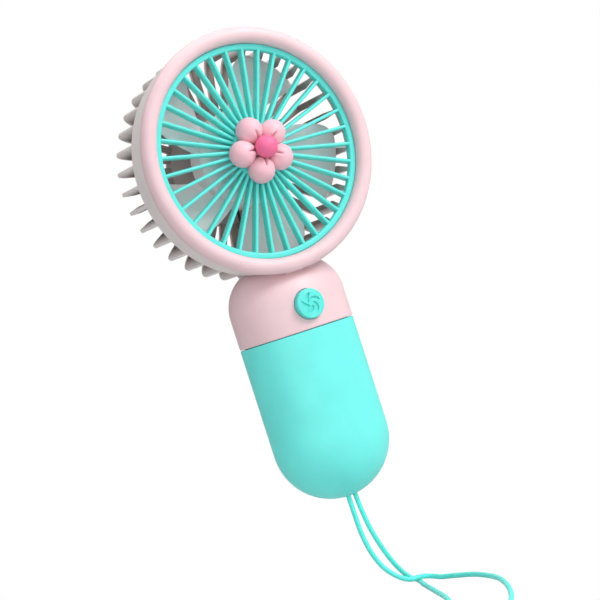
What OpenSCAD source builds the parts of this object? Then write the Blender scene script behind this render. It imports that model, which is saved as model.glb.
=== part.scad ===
// Handheld electric fan: a round caged head on an oval handle, with a flower badge,
// one push button and a looped wrist cord. +Z runs up the handle, the fan blows to -Y.
// The origin is on the handle's axis, level with the seam where the hand closes on it.

/* [Handle] */
// Width of the handle
handle_w = 44.6; // [40:0.2:52]
// Depth of the handle, front to back
handle_d = 32.4; // [30:0.2:40]
// Height of the seam above the lower end
seam_h = 61.7; // [60:0.5:75]
// Height of the rounded lower end
dome_h = 21.4; // [16:0.2:26]
// Height above the seam where the shoulder starts to round over
shoulder_z = 11.2; // [10.5:0.1:14]
// Radius of the shoulder
shoulder_r = 15.5; // [14.5:0.1:16.5]
// Wall of both handle shells
wall = 1.8; // [1.4:0.1:2.2]

/* [Head] */
// Outer diameter of the head over its rounded lip
head_d = 89.2; // [84:0.2:108]
// Height of the head's lowest point above the seam
head_foot_z = 21.1; // [20.4:0.1:24]
// Thickness of the rounded lip
lip_t = 5.7; // [4.5:0.1:6.5]
// Distance from the handle's axis forward to the middle of the lip
lip_y = 15.6; // [15:0.1:17]
// Distance from the handle's axis back to the rear face of the head
rear_y = 18.3; // [17.5:0.1:21]

/* [Grilles] */
// Number of ribs in the front grille and of fins in the rear cage
rib_count = 36; // [24:1:40]
// Width of a front rib
rib_w = 1.2; // [0.9:0.1:1.6]
// Depth of a front rib
rib_depth = 3.3; // [2.4:0.1:4]
// Thickness of a rear fin
fin_t = 2; // [1.5:0.1:2.4]
// Depth of a rear fin
fin_depth = 4; // [3:0.1:4.6]

/* [Impeller] */
// Number of blades
blade_count = 5; // [3:1:7]
// Diameter of the impeller's hub
hub_d = 36; // [30:0.5:38]
// Diameter of the motor shaft
shaft_d = 2; // [1.5:0.1:2.5]

/* [Flower] */
// Number of petals
petal_count = 5; // [4:1:6]
// Radius of the circle that the petals' centres lie on
petal_ring = 7.6; // [7.6:0.1:9]
// Radius of a petal
petal_r = 4.8; // [4:0.1:4.9]
// Radius of the ball in the middle
eye_r = 4; // [3.4:0.1:4]

/* [Button] */
// Diameter of the button
button_d = 10.8; // [9:0.1:11.4]
// Height of the button's centre above the seam
button_z = 8.6; // [8.6:0.1:9.4]
// How far the button travels
button_travel = 0.5; // [0.3:0.1:0.5]

/* [Battery] */
// Diameter of the cell
cell_d = 18.2; // [16:0.1:18.4]
// Length of the cell's can
cell_h = 49; // [40:1:50]

/* [Cord] */
// Diameter of the wrist cord
cord_d = 1.8; // [1.4:0.1:2]

/* [Hidden] */
$fn = 96;
eps = 0.01;

pink = "#f6ced6";
warm_grey = "#d6c9c6";
aqua = "#6fe6d8";
petal_pink = "#f7bfcb";
eye_pink = "#f9709c";
milk = "#e6dcdc";
steel = "#b9bcc0";
brass = "#c9a85a";
copper = "#b87333";

// Handle outline
half_w = handle_w / 2;
half_d = handle_d / 2;
bottom_z = -seam_h;
dome_z = bottom_z + dome_h;
ring_points = 48;
seam_gap = 0.3;
tongue_clear = 0.1;
tongue_t = 1.0;
tongue_h = 2;
tongue_root = 5;

// Head outline
head_r = head_d / 2;
head_z = head_foot_z + head_r;
lip_r = lip_t / 2;
lip_mid_r = head_r - lip_r;
bezel_r = lip_mid_r - lip_r;
barrel_rear_f = 2.4;
barrel_rear_r = head_r - 1.5;
barrel_bore_r = head_r - 2.9;
barrel_front_f = lip_y - 3;
grille_f = lip_y - 0.55;
grille_clear = 0.05;
grille_ring_t = 2.65;
seat_f = grille_f - grille_ring_t;
seat_r = bezel_r - 1.3;
seat_t = 1;
grille_ring_w = 2.3;
barrel_front_r = barrel_rear_r + 0.9;
collar_r = barrel_bore_r - 0.05;
neck_w = 18;
neck_t = 1.4;
neck_foot = 1.6;
collar_t = 0.9;
collar_h = 3;
cage_clear = 0.05;
fin_gap = 0.4;
saddle_r = barrel_rear_r - 0.1;
roof_r = saddle_r + 2;

// Rear cage
cage_r = saddle_r - fin_gap;
cage_inner_r = cage_r - fin_depth;
// How far a fin's root stands inside the barrel's wall
fin_root = 0.25;
// The fins' rear and front edges on the flat back, a step behind the plate and the wire's rib
fin_step = 0.12;
fin_rear_f = -rear_y + fin_step;
fin_front_f = -rear_y + fin_depth - fin_step;
cage_corner_r = 5;
cage_inner_corner_r = cage_corner_r - fin_depth + 0.6;
cage_plate_r = 22;
cage_plate_t = 2.5;
cap_t = 1;
cap_r = 13.5;
cap_clear = 0.1;
wire_rib_w = 4.4;
plate_front_f = -rear_y + cage_plate_t;

// Motor, measured forward from the rear plate
motor_r = 10.2;
motor_wall = 0.8;
end_cap_t = 3;
can_len = 7.8;
can_rear_f = plate_front_f + end_cap_t;
can_front_f = can_rear_f + can_len;
cup_clear = 0.15;
cup_t = 1.4;
cup_h = 6.3;
shaft_r = shaft_d / 2;
bush_clear = 0.03;
front_bush_r = shaft_r + 1.5;
rear_bush_r = shaft_r + 1;
boss_h = 1.2;
armature_r = 7.2;
magnet_gap = 0.5;
commutator_r = 2.6;
motor_screw_x = 6;
motor_screw_r = 0.75;
motor_head_r = 1.5;
motor_head_t = 0.75;

// Impeller
blade_gap = 0.9;
blade_tip_r = cage_inner_r - blade_gap;
hub_r = hub_d / 2;
hub_wall = 1.4;
hub_rear_f = -4.4;
hub_side_f = 4;
hub_front_f = 6;
blade_axial = 8.4;
blade_mid_f = -0.2;
blade_span = 45;
blade_sweep = -17;
blade_t = 1.1;
blade_phase = 70;
hub_boss_r = shaft_r + 2.2;
shaft_front_f = 4.2;

// Flower
petal_f = grille_f + 2.6;
flower_base_r = petal_ring + 0.6;
flower_base_t = 1.2;
flower_gap = 0.05;
grille_hub_r = petal_ring + 1.2;
stem_r = 2;
stem_clear = 0.05;
eye_f = petal_f + 4.55;
eye_flat_f = eye_f - eye_r + 0.6;
peg_r = 1.2;
crease_w = 0.5;

// Deck, board and switch
deck_z = 3.6;
deck_t = 1.2;
deck_front_y = -11.4;
deck_clear = 0.6;
post_h = 0.6;
board_t = 1.2;
board_z = deck_z + deck_t + post_h;
board_top = board_z + board_t;
board_w = 21;
board_front_y = -11;
board_rear_y = 12.2;
button_r = button_d / 2;
button_clear = 0.1;
flange_r = button_r + 0.9;
flange_t = 0.8;
flange_y = -half_d + wall + 1;
button_proud = 1.9;
button_face_y = -half_d - button_proud;
post_r = 1.8;
plunger_r = 1.3;
plunger_tip_y = -11.85;
plunger_len = 1.75;
switch_w = 6.2;
switch_d = 3.6;
switch_h = 2 * (button_z - board_top);
switch_front_y = -10.6;
icon_depth = 0.35;

// Port
usb_w = 8.94;
usb_h = 3.2;
usb_len = 7.3;
usb_wall = 0.3;
usb_rear_y = half_d - wall - 0.5;
usb_z = board_top + usb_h / 2;
port_clear = 0.35;

// Cell and cradle
cell_r = cell_d / 2;
cell_top = 2.2;
cell_bottom = cell_top - cell_h;
nub_r = 2.8;
nub_h = 0.8;
tab_t = 0.2;
foam_t = 1;
cradle_clear = 0.2;
cradle_t = 1.4;
cradle_r = cell_r + cradle_clear + cradle_t;
cradle_open_y = -3;
cradle_floor_t = 1.2;
cradle_bottom = cell_bottom - tab_t - foam_t - cradle_floor_t;
arm_x = half_w - 5.5;
arm_t = 1.2;
arm_w = 8;
arm_bottom = -12.6;
hook_h = 1.8;
hook_out = 1.1;
catch_z = -10.4;
catch_h = 1.6;
catch_w = 7;
boss_x = 13.6;
boss_y = 6;
boss_r = 2.2;
pilot_r = 0.8;
pilot_h = 8;
screw_head_r = 1.9;
screw_head_t = 1.4;
ear_hole_r = 1.1;
board_screw_x = 8;
board_screw_y = 4;
board_screw_r = 0.7;
board_head_r = 1.5;
board_head_t = 0.9;

// Wires
wire_r = 0.5;
wire_x = 1;
wire_rib_f = -rear_y + fin_depth + 0.7;
wire_drop_y = 8;
wire_turn_r = cage_inner_r - 0.9;
wire_hole_r = 1.7;
lead_x = 3;
lead_y = 6;
return_x = -6;
return_y = -9;

// Wrist cord: it leaves the lower end, drops to the surface below the held fan, crosses
// itself once and closes its loop in front
cord_r = cord_d / 2;
slot_x = 1.45;
slot_y = -2.4;
slot_r = 1.25;
knot_r = 2.9;
knot_z = bottom_z + 5.2;
cord_sides = 8;
cord_route = [
    [-1.45, -2.4, -59.1], [-1.4, -2.4, -63], [-1.3, -2.4, -69], [-1, -2.4, -76],
    [0.2, -2.6, -83], [2.2, -3.1, -88.6], [4.4, -3.9, -92.2], [7.4, -5.2, -95.4],
    [10.6, -6.2, -97.1], [14, -6.6, -97.3], [17.2, -8.8, -98.2], [18.6, -14, -99.1],
    [19.6, -23, -99.1], [20, -34, -99.1], [18, -47, -99.1], [14, -61, -99.1],
    [6.4, -78, -99.1], [-2.2, -93.6, -99.1], [-9.4, -104.6, -99.1],
    [-17, -113.6, -99.1], [-25, -118.4, -99.1], [-32, -117, -99.1],
    [-34.4, -110, -99.1], [-31, -102, -99.1], [-25, -92, -99.1], [-17.6, -79.8, -99.1],
    [-7, -60.6, -99.1], [2, -37.4, -99.1], [10.4, -14.6, -99.1],
    [14.4, -5, -99.1], [16.2, 1, -98.9], [14.6, 2.8, -97.2], [11.6, 1.2, -94],
    [8.2, -0.6, -89], [5.2, -1.8, -82.4], [3, -2.3, -75], [1.9, -2.4, -67.6],
    [1.5, -2.4, -62.6], [1.45, -2.4, -59.1]];

// Points of an oval, level at height z
function oval(a, b, z, n) = [for (i = [0:n - 1]) [a * cos(360 * i / n), b * sin(360 * i / n), z]];

// Closed skin through a stack of rings with an even number of points each
module skin(rings) {
    n = len(rings[0]);
    m = len(rings);
    points = [for (ring = rings) each ring];
    sides = [for (j = [0:m - 2], i = [0:n - 1], k = [0:1])
        k == 0 ? [j * n + i, (j + 1) * n + (i + 1) % n, j * n + (i + 1) % n]
               : [j * n + i, (j + 1) * n + i, (j + 1) * n + (i + 1) % n]];
    ladder = [for (i = [0:n / 2 - 2], k = [0:1])
        k == 0 ? [i, i + 1, n - 2 - i] : [i, n - 2 - i, n - 1 - i]];
    top = (m - 1) * n;
    upper_end = [for (t = ladder) [top + t[2], top + t[1], top + t[0]]];
    polyhedron(points, concat(sides, ladder, upper_end), convexity = 4);
}

// Level outline of the handle, drawn in by "inset" from the outer surface
module handle_outline(inset) {
    polygon([for (p = oval(half_w - inset, half_d - inset, 0, ring_points)) [p[0], p[1]]]);
}

// Upper end of the handle, its shoulder rounded over, drawn in by "inset"
module handle_top(inset, z0) {
    steps = 9;
    last = 72;
    straight = [oval(half_w - inset, half_d - inset, z0, ring_points)];
    rounded = [for (i = [0:steps]) let (t = last * i / steps, e = inset + shoulder_r * (1 - cos(t)))
        oval(half_w - e, half_d - e, shoulder_z + shoulder_r * sin(t), ring_points)];
    skin(concat(straight, rounded));
}

// Lower end of the handle, a half ellipsoid under a straight oval, drawn in by "inset"
module handle_bottom(inset, z1) {
    steps = 10;
    first = 86;
    rounded = [for (i = [0:steps]) let (t = first * (1 - i / steps))
        oval((half_w - inset) * cos(t), (half_d - inset) * cos(t),
            dome_z - (dome_h - inset) * sin(t), ring_points)];
    skin(concat(rounded, [oval(half_w - inset, half_d - inset, z1, ring_points)]));
}

// Places its children in the head: their +Z is the way the fan blows
module in_head() {
    translate([0, 0, head_z])
        rotate([90, 0, 0])
            children();
}

// Plain disc or drum in the head, from f0 forward to f1
module drum(r, f0, f1) {
    translate([0, 0, f0])
        cylinder(r = r, h = f1 - f0);
}

// Tube in the head
module pipe(r_out, r_in, f0, f1) {
    difference() {
        drum(r_out, f0, f1);
        drum(r_in, f0 - 1, f1 + 1);
    }
}

// Round-ended slot of the given width and radius, standing along Z
module slot(half_length, r, h) {
    for (s = [-1, 1])
        translate([s * half_length, 0, 0])
            cylinder(r = r, h = h);
    translate([-half_length, -r, 0])
        cube([2 * half_length, 2 * r, h]);
}

// Cylinder lying along +Y, from y0 to y1
module along_y(r, y0, y1) {
    translate([0, y0, 0])
        rotate([-90, 0, 0])
            cylinder(r = r, h = y1 - y0);
}

// Wire through a list of points, in straight runs with round corners
module wire(points) {
    for (i = [0:len(points) - 2]) {
        a = points[i];
        d = points[i + 1] - a;
        length = norm(d);
        translate(a)
            rotate([0, acos(d[2] / length), atan2(d[1], d[0])])
                cylinder(r = wire_r, h = length, $fn = 24);
    }
    for (i = [1:len(points) - 2])
        translate(points[i])
            sphere(r = 1.06 * wire_r, $fn = 24);
}

// Section of the lip and its collar: distance from the axis, then distance forward
function lip_section() = concat(
    [[collar_r - collar_t, barrel_front_f - collar_h], [collar_r, barrel_front_f - collar_h],
     [collar_r, barrel_front_f], [barrel_front_r, barrel_front_f]],
    [for (t = [-15:15:180]) [lip_mid_r + lip_r * cos(t), lip_y + lip_r * sin(t)]],
    [[bezel_r, seat_f], [seat_r, seat_f], [seat_r, seat_f - seat_t],
     [collar_r - collar_t, seat_f - seat_t - 1]]);

// Section of the barrel, which is part of the rear cage and slides over the lip's collar
function barrel_section() = [[barrel_bore_r, barrel_rear_f], [barrel_rear_r, barrel_rear_f],
    [barrel_front_r, barrel_front_f - cage_clear], [barrel_bore_r, barrel_front_f - cage_clear]];

// Room for the cage and its barrel in the top of the handle
function saddle_section() = [[0, -40], [saddle_r, -40], [saddle_r, barrel_rear_f - 0.1],
    [barrel_rear_r + cage_clear, barrel_rear_f - 0.1],
    [barrel_front_r + cage_clear, barrel_front_f], [0, barrel_front_f]];

// Hollow inside the upper handle: under the head's saddle, round the two screw bosses
module upper_hollow() {
    difference() {
        handle_top(wall, -1);
        in_head() drum(roof_r, -40, 40);
        for (s = [-1, 1])
            translate([s * boss_x, boss_y, deck_z + deck_t])
                cylinder(r = boss_r, h = 40, $fn = 48);
    }
}

module main_shell() {
    color(pink)
        difference() {
            union() {
                in_head() rotate_extrude() polygon(lip_section());
                difference() {
                    handle_top(0, 0);
                    in_head() rotate_extrude() polygon(saddle_section());
                    in_head() drum(saddle_r, barrel_front_f - 1, 40);
                }
                translate([-neck_w / 2, -barrel_front_f - neck_t, head_z - roof_r - neck_foot])
                    cube([neck_w, neck_t - eps, roof_r - saddle_r + neck_foot]);
            }
            upper_hollow();
            for (s = [-1, 1])
                translate([s * boss_x, boss_y, deck_z + deck_t - eps])
                    cylinder(r = pilot_r, h = pilot_h, $fn = 32);
            translate([0, 0, button_z])
                along_y(button_r + button_clear, -half_d - 2, -half_d + 4);
            translate([0, half_d + 3, usb_z])
                rotate([90, 0, 0])
                    slot((usb_w - usb_h) / 2, usb_h / 2 + port_clear, 6);
            translate([0, wire_drop_y, button_z + 4])
                cylinder(r = wire_hole_r, h = 20, $fn = 48);
        }
}

module lower_shell() {
    color(aqua)
        difference() {
            union() {
                difference() {
                    handle_bottom(0, -seam_gap);
                    handle_bottom(wall, 1);
                }
                translate([0, 0, -tongue_root])
                    linear_extrude(tongue_root - seam_gap)
                        difference() {
                            handle_outline(wall - 0.2);
                            handle_outline(wall + tongue_clear + tongue_t);
                        }
                translate([0, 0, -seam_gap - eps])
                    linear_extrude(tongue_h + seam_gap)
                        difference() {
                            handle_outline(wall + tongue_clear);
                            handle_outline(wall + tongue_clear + tongue_t);
                        }
                for (s = [-1, 1])
                    translate([s * (half_w - 2.7) - 1.2, -catch_w / 2, catch_z])
                        cube([2.4, catch_w, catch_h]);
            }
            translate([0, slot_y, bottom_z - 3])
                slot(slot_x, slot_r, 8);
        }
}

module front_grille() {
    color(aqua)
        in_head()
            difference() {
                union() {
                    pipe(bezel_r - grille_clear, bezel_r - grille_ring_w, seat_f, grille_f);
                    drum(grille_hub_r, grille_f - rib_depth, grille_f);
                    for (i = [0:rib_count - 1])
                        rotate([0, 0, 360 * i / rib_count])
                            translate([grille_hub_r - 1, -rib_w / 2, grille_f - rib_depth])
                                cube([bezel_r - grille_hub_r - 0.5, rib_w, rib_depth]);
                }
                drum(stem_r + stem_clear, grille_f - rib_depth - 1, grille_f + 1);
            }
}

module flower_petals() {
    base_f = grille_f + flower_gap;
    color(petal_pink)
        in_head()
            difference() {
                union() {
                    for (i = [0:petal_count - 1])
                        rotate([0, 0, 180 + 360 * i / petal_count])
                            translate([petal_ring, 0, petal_f])
                                sphere(r = petal_r, $fn = 48);
                    drum(flower_base_r - 1.2, base_f, base_f + flower_base_t);
                    drum(peg_r + 1.8, base_f, eye_flat_f - 0.05);
                    drum(stem_r, grille_f - rib_depth, base_f + 0.5);
                }
                difference() {
                    drum(40, grille_f - 20, base_f);
                    drum(stem_r, grille_f - 20, base_f + 1);
                }
                for (i = [0:petal_count - 1])
                    rotate([0, 0, 180 + 360 * i / petal_count])
                        translate([petal_ring - petal_r, -crease_w / 2, petal_f + 0.62 * petal_r])
                            cube([0.8 * petal_r, crease_w, petal_r]);
                drum(peg_r + 0.02, eye_flat_f - 2, eye_flat_f + 1);
            }
}

module flower_eye() {
    color(eye_pink)
        in_head() {
            difference() {
                translate([0, 0, eye_f])
                    sphere(r = eye_r, $fn = 64);
                drum(eye_r + 1, eye_f - eye_r - 1, eye_flat_f);
            }
            drum(peg_r, eye_flat_f - 1.8, eye_flat_f + 1);
        }
}

// Side view of one fin: it leaves its ring, runs back, turns the corner and runs inwards
function fin_section() = concat(
    [[cage_inner_r, barrel_rear_f - 0.8], [barrel_bore_r + fin_root, barrel_rear_f + 2.4],
     [cage_r, barrel_rear_f + 2.4]],
    [for (t = [0:10:90]) [cage_r - 0.5 - cage_corner_r * (1 - cos(t)),
        fin_rear_f + cage_corner_r * (1 - sin(t))]],
    [[cage_plate_r - 0.7, fin_rear_f], [cage_plate_r - 0.7, fin_front_f]],
    [for (t = [90:-15:0]) [cage_inner_r - 0.3 - cage_inner_corner_r * (1 - cos(t)),
        fin_front_f + cage_inner_corner_r * (1 - sin(t))]]);

// One fin of the cage, "t" thick, standing in the plane of the head's axis
module fin(t) {
    translate([0, t / 2, 0])
        rotate([90, 0, 0])
            linear_extrude(t)
                polygon(fin_section());
}

module rear_cage() {
    color(warm_grey)
        in_head()
            difference() {
                union() {
                    rotate_extrude() polygon(barrel_section());
                    for (i = [0:rib_count - 1])
                        rotate([0, 0, -90 + 360 * i / rib_count])
                            fin(fin_t);
                    rotate([0, 0, -90])
                        translate([cage_plate_r - 1, -wire_rib_w / 2, fin_rear_f + fin_step])
                            cube([cage_inner_r - cage_plate_r - 4, wire_rib_w,
                                fin_depth - 2 * fin_step]);
                    drum(cage_plate_r, -rear_y, plate_front_f);
                    drum(motor_r + cup_clear + cup_t, plate_front_f - eps, plate_front_f + cup_h);
                }
                drum(motor_r + cup_clear, plate_front_f, plate_front_f + cup_h + 1);
                drum(cap_r + cap_clear, -rear_y - 1, -rear_y + cap_t);
                for (s = [-1, 1])
                    translate([s * motor_screw_x, 0, 0]) {
                        drum(motor_head_r + 0.1, -rear_y, -rear_y + cap_t + motor_head_t + 0.05);
                        drum(motor_screw_r + 0.1, -rear_y, plate_front_f + 1);
                    }
                translate([-2.2, -motor_r - 3, plate_front_f + 0.8])
                    cube([4.4, 3.2, cup_h]);
                for (s = [-1, 1])
                    translate([s * wire_x, 0, -wire_drop_y])
                        rotate([90, 0, 0])
                            translate([0, 0, cage_inner_r - 2])
                                cylinder(r = wire_r + 0.25, h = 8, $fn = 32);
            }
}

module rear_cap() {
    color(warm_grey)
        in_head()
            drum(cap_r, -rear_y, -rear_y + cap_t);
}

// Skin of one blade: its angle, its place along the axis and its sweep follow the radius
module blade() {
    steps = 8;
    cuts = 8;
    root_r = hub_r - 0.8;
    function at(i, j, side) =
        let (r = root_r + (blade_tip_r - root_r) * i / steps,
             grow = (r - hub_r) / (blade_tip_r - hub_r),
             along = j / cuts,
             round_off = 1 - 0.35 * pow(max(0, grow), 6) * pow(abs(2 * along - 1), 2),
             a = blade_sweep * grow + blade_span * ((along - 0.5) * round_off),
             f = blade_mid_f + blade_axial * (along - 0.5) * round_off
                 + 0.9 * sin(180 * along) + side * blade_t / 2)
        [r * cos(a), r * sin(a), f];
    rings = [for (i = [0:steps]) concat(
        [for (j = [0:cuts]) at(i, j, -1)],
        [for (j = [cuts:-1:0]) at(i, j, 1)])];
    skin(rings);
}

module impeller() {
    color(milk)
        in_head()
            difference() {
                union() {
                    rotate_extrude()
                        polygon(concat(
                            [[hub_r - hub_wall, hub_rear_f], [hub_r, hub_rear_f]],
                            [for (t = [0:10:80]) [(hub_r - 2) + 2 * cos(t),
                                hub_side_f + (hub_front_f - hub_side_f) * 0.6 * sin(t)]],
                            [[0, hub_front_f], [0, hub_front_f - hub_wall],
                             [hub_r - hub_wall - 1, hub_side_f], [hub_r - hub_wall, hub_side_f - 1]]));
                    drum(hub_boss_r, hub_rear_f + 0.9, hub_front_f - 0.4);
                    for (i = [0:blade_count - 1])
                        rotate([0, 0, blade_phase + 360 * i / blade_count])
                            blade();
                }
                drum(shaft_r, hub_rear_f, shaft_front_f);
            }
}

module motor_can() {
    color(steel)
        in_head()
            difference() {
                union() {
                    drum(motor_r, can_rear_f, can_front_f);
                    drum(front_bush_r + 1, can_front_f - eps, can_front_f + boss_h);
                }
                drum(motor_r - motor_wall, can_rear_f - 1, can_front_f - motor_wall);
                drum(front_bush_r, can_front_f - 2, can_front_f + boss_h + 1);
            }
}

module motor_end_cap() {
    color("#30343a")
        in_head()
            difference() {
                drum(motor_r, plate_front_f, can_rear_f);
                drum(rear_bush_r, plate_front_f + 0.4, can_rear_f + 1);
                for (s = [-1, 1])
                    translate([s * motor_screw_x, 0, 0])
                        drum(motor_screw_r, plate_front_f - 1, plate_front_f + 2.4);
            }
}

module motor_magnets() {
    color("#3b3b3f")
        in_head()
            for (s = [-1, 1])
                rotate([0, 0, 90 * s - 62])
                    translate([0, 0, can_rear_f + 0.6])
                        rotate_extrude(angle = 124)
                            translate([armature_r + magnet_gap, 0])
                                square([motor_r - motor_wall - 0.02 - armature_r - magnet_gap, can_len - 2.2]);
}

module motor_brushes() {
    color("#2a2a2a")
        in_head()
            for (s = [-1, 1])
                translate([s * (commutator_r + 0.95) - 0.8, -0.8, can_rear_f])
                    cube([1.6, 1.6, 0.9]);
}

module armature() {
    color(copper)
        in_head()
            pipe(armature_r, shaft_r, can_rear_f + 1.4, can_front_f - 1.6);
}

module commutator() {
    color(brass)
        in_head()
            pipe(commutator_r, shaft_r, can_rear_f + 0.15, can_rear_f + 1.4);
}

module motor_shaft() {
    color(steel)
        in_head()
            drum(shaft_r, plate_front_f + 0.5, shaft_front_f);
}

module front_bushing() {
    color(brass)
        in_head()
            pipe(front_bush_r, shaft_r + bush_clear, can_front_f - motor_wall, can_front_f + boss_h);
}

module rear_bushing() {
    color(brass)
        in_head()
            pipe(rear_bush_r, shaft_r + bush_clear, plate_front_f + 0.4, can_rear_f - 0.2);
}

module motor_screws() {
    head_f = -rear_y + cap_t + motor_head_t;
    color(steel)
        in_head()
            for (s = [-1, 1])
                translate([s * motor_screw_x, 0, 0]) {
                    drum(motor_head_r, head_f - motor_head_t + 0.05, head_f + 0.05);
                    drum(motor_screw_r, head_f, plate_front_f + 2.2);
                }
}

// Route of a motor wire: along the lowest fin, through the cage's wall and down to the board
function motor_wire_route(s) = [
    [s * wire_x, -wire_rib_f, head_z - motor_r - 0.05],
    [s * wire_x, -wire_rib_f, head_z - wire_turn_r + 2],
    [s * wire_x, wire_drop_y, head_z - wire_turn_r],
    [s * wire_x, wire_drop_y, head_z - roof_r - 2],
    [s * (board_screw_x + 0.4), -3, board_top + 6],
    [s * (board_screw_x + 0.4), -3, board_top]];

module motor_wire_red() {
    color("#c8242c") wire(motor_wire_route(1));
}

module motor_wire_black() {
    color("#1c1c1e") wire(motor_wire_route(-1));
}

module battery_cradle() {
    color("#e9e6e2")
        difference() {
            union() {
                translate([0, 0, cradle_bottom])
                    cylinder(r = cradle_r, h = deck_z - cradle_bottom + eps);
                intersection() {
                    translate([0, 0, deck_z])
                        linear_extrude(deck_t)
                            handle_outline(wall + deck_clear);
                    translate([-half_w, deck_front_y, deck_z])
                        cube([handle_w, 40, deck_t]);
                }
                for (s = [-1, 1]) {
                    translate([s * (arm_x + arm_t / 2) - arm_t / 2, -arm_w / 2, arm_bottom])
                        cube([arm_t, arm_w, deck_z - arm_bottom + eps]);
                    translate([s * (arm_x + arm_t + hook_out / 2 - eps) - hook_out / 2, -arm_w / 2 + 1, arm_bottom])
                        cube([hook_out, arm_w - 2, hook_h]);
                    translate([s * board_screw_x, board_screw_y, deck_z])
                        cylinder(r = 1.9, h = deck_t + post_h, $fn = 48);
                }
            }
            translate([0, 0, cradle_bottom + cradle_floor_t])
                cylinder(r = cell_r + cradle_clear, h = deck_z - cradle_bottom - cradle_floor_t);
            translate([-20, -20, cradle_bottom + cradle_floor_t])
                cube([40, 20 + cradle_open_y, deck_z - cradle_bottom - cradle_floor_t - 15]);
            for (s = [-1, 1]) {
                translate([s * boss_x, boss_y, 0])
                    cylinder(r = ear_hole_r, h = 10, $fn = 32);
                translate([s * board_screw_x, board_screw_y, -eps])
                    cylinder(r = board_screw_r, h = 10, $fn = 32);
            }
            translate([lead_x, lead_y, deck_z - 1])
                cylinder(r = wire_r + 0.4, h = 5, $fn = 32);
            translate([return_x, return_y, cradle_bottom + cradle_floor_t])
                cylinder(r = wire_r + 0.4, h = 60, $fn = 32);
        }
}

module battery_cell() {
    color("#4a6fae") {
        translate([0, 0, cell_bottom])
            cylinder(r = cell_r, h = cell_h);
        translate([0, 0, cell_top - eps])
            cylinder(r = nub_r, h = nub_h + eps);
    }
}

module battery_foam() {
    color("#3a3a3c")
        translate([0, 0, cell_bottom - tab_t - foam_t])
            cylinder(r = cell_r - 1, h = foam_t);
}

module battery_tabs() {
    color(steel) {
        translate([-2.5, -2.5, cell_top + nub_h])
            cube([lead_x + 4, lead_y + 3.4, tab_t]);
        translate([return_x - 1, return_y - 0.4, cell_bottom - tab_t])
            cube([9, 11, tab_t]);
    }
}

module battery_wire_red() {
    color("#c8242c")
        translate([lead_x, lead_y, cell_top + nub_h + tab_t])
            cylinder(r = wire_r, h = board_z - cell_top - nub_h - tab_t, $fn = 24);
}

module battery_wire_black() {
    color("#1c1c1e")
        translate([return_x, return_y, cell_bottom])
            cylinder(r = wire_r, h = board_z - cell_bottom, $fn = 24);
}

module circuit_board() {
    color("#1f6b45")
        difference() {
            translate([-board_w / 2, board_front_y, board_z])
                cube([board_w, board_rear_y - board_front_y, board_t]);
            for (s = [-1, 1])
                translate([s * board_screw_x, board_screw_y, board_z - 1])
                    cylinder(r = board_screw_r + 0.2, h = board_t + 2, $fn = 32);
        }
}

module switch_body() {
    color("#2b2b2e")
        difference() {
            translate([-switch_w / 2, switch_front_y, board_top])
                cube([switch_w, switch_d, switch_h]);
            translate([0, 0, button_z])
                along_y(plunger_r + 0.05, switch_front_y - 1, switch_front_y + 1.3);
        }
}

module switch_plunger() {
    color("#d8d8d4")
        translate([0, 0, button_z])
            along_y(plunger_r, plunger_tip_y, plunger_tip_y + plunger_len);
}

// One hooked vane of the sunk fan sign on the button
module sign_vane() {
    difference() {
        translate([1.3, 0])
            circle(r = 1.3, $fn = 32);
        translate([1.75, -0.55])
            circle(r = 1.25, $fn = 32);
    }
}

module button_cap() {
    color(aqua)
        translate([0, 0, button_z])
            difference() {
                union() {
                    rotate([90, 0, 0])
                        rotate_extrude()
                            polygon(concat([[0, -flange_y], [button_r, -flange_y]],
                                [for (t = [0:15:90]) [button_r - 0.5 + 0.5 * cos(t),
                                    -button_face_y - 0.5 + 0.5 * sin(t)]],
                                [[0, -button_face_y]]));
                    along_y(flange_r, flange_y, flange_y + flange_t);
                    along_y(post_r, flange_y + flange_t - eps, plunger_tip_y);
                }
                for (i = [0:4])
                    translate([0, button_face_y + icon_depth, 0])
                        rotate([90, 90 + 72 * i, 0])
                            translate([0.8, 0, 0])
                                linear_extrude(1)
                                    sign_vane();
            }
}

module usb_shell() {
    color(steel)
        translate([0, usb_rear_y, usb_z])
            rotate([90, 0, 0])
                difference() {
                    slot((usb_w - usb_h) / 2, usb_h / 2, usb_len);
                    translate([0, 0, -1])
                        slot((usb_w - usb_h) / 2, usb_h / 2 - usb_wall, usb_len + 2);
                }
}

module usb_insert() {
    color("#232326")
        translate([0, usb_rear_y, usb_z])
            rotate([90, 0, 0]) {
                translate([0, 0, usb_len - 1.6])
                    slot((usb_w - usb_h) / 2, usb_h / 2 - usb_wall - 0.02, 1.6);
                translate([-3.3, -0.35, 0.9])
                    cube([6.6, 0.7, usb_len - 2.4]);
            }
}

module control_chip() {
    color("#252527")
        translate([-6.4, -2.5, board_top])
            cube([4.9, 4.9, 1.4]);
}

module inductor() {
    color("#55555a")
        translate([4, 0.6, board_top])
            cylinder(r = 2.4, h = 2.4, $fn = 48);
}

module board_screws() {
    color(steel)
        for (s = [-1, 1])
            translate([s * board_screw_x, board_screw_y, 0]) {
                translate([0, 0, board_top])
                    cylinder(r = board_head_r, h = board_head_t, $fn = 32);
                translate([0, 0, deck_z + 0.1])
                    cylinder(r = board_screw_r, h = board_top - deck_z, $fn = 32);
            }
}

module cradle_screws() {
    color(steel)
        for (s = [-1, 1])
            translate([s * boss_x, boss_y, 0]) {
                translate([0, 0, deck_z - screw_head_t])
                    cylinder(r = screw_head_r, h = screw_head_t, $fn = 32);
                translate([0, 0, deck_z - eps])
                    cylinder(r = pilot_r, h = deck_t + pilot_h - 1, $fn = 32);
            }
}

module cord_knot() {
    color(aqua)
        translate([0, slot_y, knot_z])
            sphere(r = knot_r, $fn = 48);
}

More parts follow.
